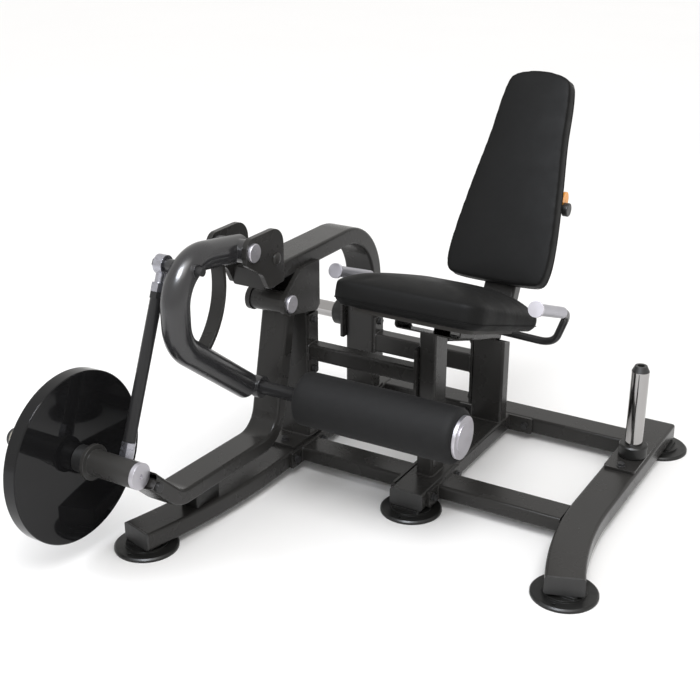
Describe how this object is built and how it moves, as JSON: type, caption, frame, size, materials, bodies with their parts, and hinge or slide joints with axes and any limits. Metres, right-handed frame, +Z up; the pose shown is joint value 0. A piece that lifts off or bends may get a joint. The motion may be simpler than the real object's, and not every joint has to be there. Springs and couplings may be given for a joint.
{
  "type": "leg extension machine",
  "caption": "Plate-loaded seated leg extension machine: curved leg arm with roller, linked weight lever, arched side frame, adjustable back pad and plate storage.",
  "frame": {"origin": "on the floor at the centre of the centre front foot", "axes": "+Z up; -Y is the way the user faces; +X towards the spare plate post, away from the leg arm side frame"},
  "size_m": [1.444, 1.6774, 1.0878],
  "materials": {
    "frame_paint": "satin powder coat",
    "black_plug": "matte",
    "black_steel": "black oxide",
    "rubber": "matte",
    "foam": "matte foam",
    "upholstery": "matte vinyl",
    "board": "painted black",
    "silver": "satin",
    "zinc": "bright zinc",
    "chrome": "polished",
    "roller_core": "matte",
    "plate": "gloss black",
    "marker": "gloss orange"
  },
  "bodies": {
    "frame": {"centre_base_beam": "frame_paint", "left_base_beam": "frame_paint", "right_base_beam": "frame_paint", "front_left_cross_tube": "frame_paint", "front_right_cross_tube": "frame_paint", "rear_cross_tube": "frame_paint", "front_column": "frame_paint", "arch_tube": "frame_paint", "knee_cheeks": "frame_paint", "lever_gussets": "frame_paint", "front_seat_post": "frame_paint", "rear_seat_post": "frame_paint", "front_upper_cross_tube": "frame_paint", "rear_upper_cross_tube": "frame_paint", "seat_bracket": "frame_paint", "seat_rail": "frame_paint", "back_housing": "frame_paint", "back_post": "frame_paint", "storage_plates": "frame_paint", "handle_rods": "frame_paint", "beam_end_caps": "black_plug", "storage_caps": "black_plug", "base_bolts": "black_steel", "upper_frame_bolts": "black_steel", "floor_feet": "rubber", "lever_bumper": "rubber", "storage_rings": "rubber", "seat_pad": "upholstery", "seat_board": "board", "pivot_caps": "silver", "grip_caps": "silver", "hand_grips": "silver", "storage_tubes": "chrome", "knee_shaft": "chrome", "lever_shaft": "chrome"},
    "leg_arm": {"leg_arm": "frame_paint", "arm_strap": "frame_paint", "roller_shaft": "frame_paint", "upper_link_bolt": "black_steel"},
    "roller": {"roller_core": "roller_core", "roller_foam": "foam", "roller_end_cap": "silver"},
    "link": {"link_rod": "frame_paint", "upper_rod_end": "zinc"},
    "lever": {"weight_lever": "frame_paint", "horn_housing": "frame_paint", "horn_near_cap": "silver", "loading_horn": "chrome", "horn_tip_cap": "black_plug", "horn_spacer": "black_plug", "lower_rod_end": "zinc", "lower_jam_nut": "zinc", "lower_link_bolt": "black_steel"},
    "plate": {"weight_plate": "plate"},
    "back": {"back_pad": "upholstery", "back_board": "board", "back_slide": "frame_paint"},
    "pin": {"pull_pin": "zinc", "pull_knob": "black_plug", "pull_disc": "marker"}
  },
  "joints": [
    {"name": "knee_pivot", "type": "hinge", "parent": "frame", "child": "leg_arm", "pos_m": [-0.443, -0.177, 0.729], "axis": [-1, 0, 0], "range_deg": [0, 80]},
    {"name": "roller_spin", "type": "hinge", "parent": "leg_arm", "child": "roller", "pos_m": [0, -0.12, 0.325], "axis": [1, 0, 0], "continuous": true},
    {"name": "link_swing", "type": "hinge", "parent": "leg_arm", "child": "link", "pos_m": [-0.511, -0.378, 0.735], "axis": [-1, 0, 0], "range_deg": [-50, 0]},
    {"name": "lever_swing", "type": "hinge", "parent": "frame", "child": "lever", "pos_m": [-0.443, -0.008, 0.535], "axis": [-1, 0, 0], "range_deg": [0, 40]},
    {"name": "plate_slide", "type": "slide", "parent": "lever", "child": "plate", "axis": [-1, 0, 0], "range_m": [0, 0.18]},
    {"name": "back_adjust", "type": "slide", "parent": "frame", "child": "back", "axis": [0, -0.8829, 0.4695], "range_m": [0, 0.09]},
    {"name": "pin_pull", "type": "slide", "parent": "frame", "child": "pin", "axis": [1, 0, 0], "range_m": [0, 0.012]}
  ],
  "couplings": [
    {"joint": "link_swing", "follows": "knee_pivot", "ratio": -0.5864},
    {"joint": "lever_swing", "follows": "knee_pivot", "ratio": 0.4396}
  ]
}
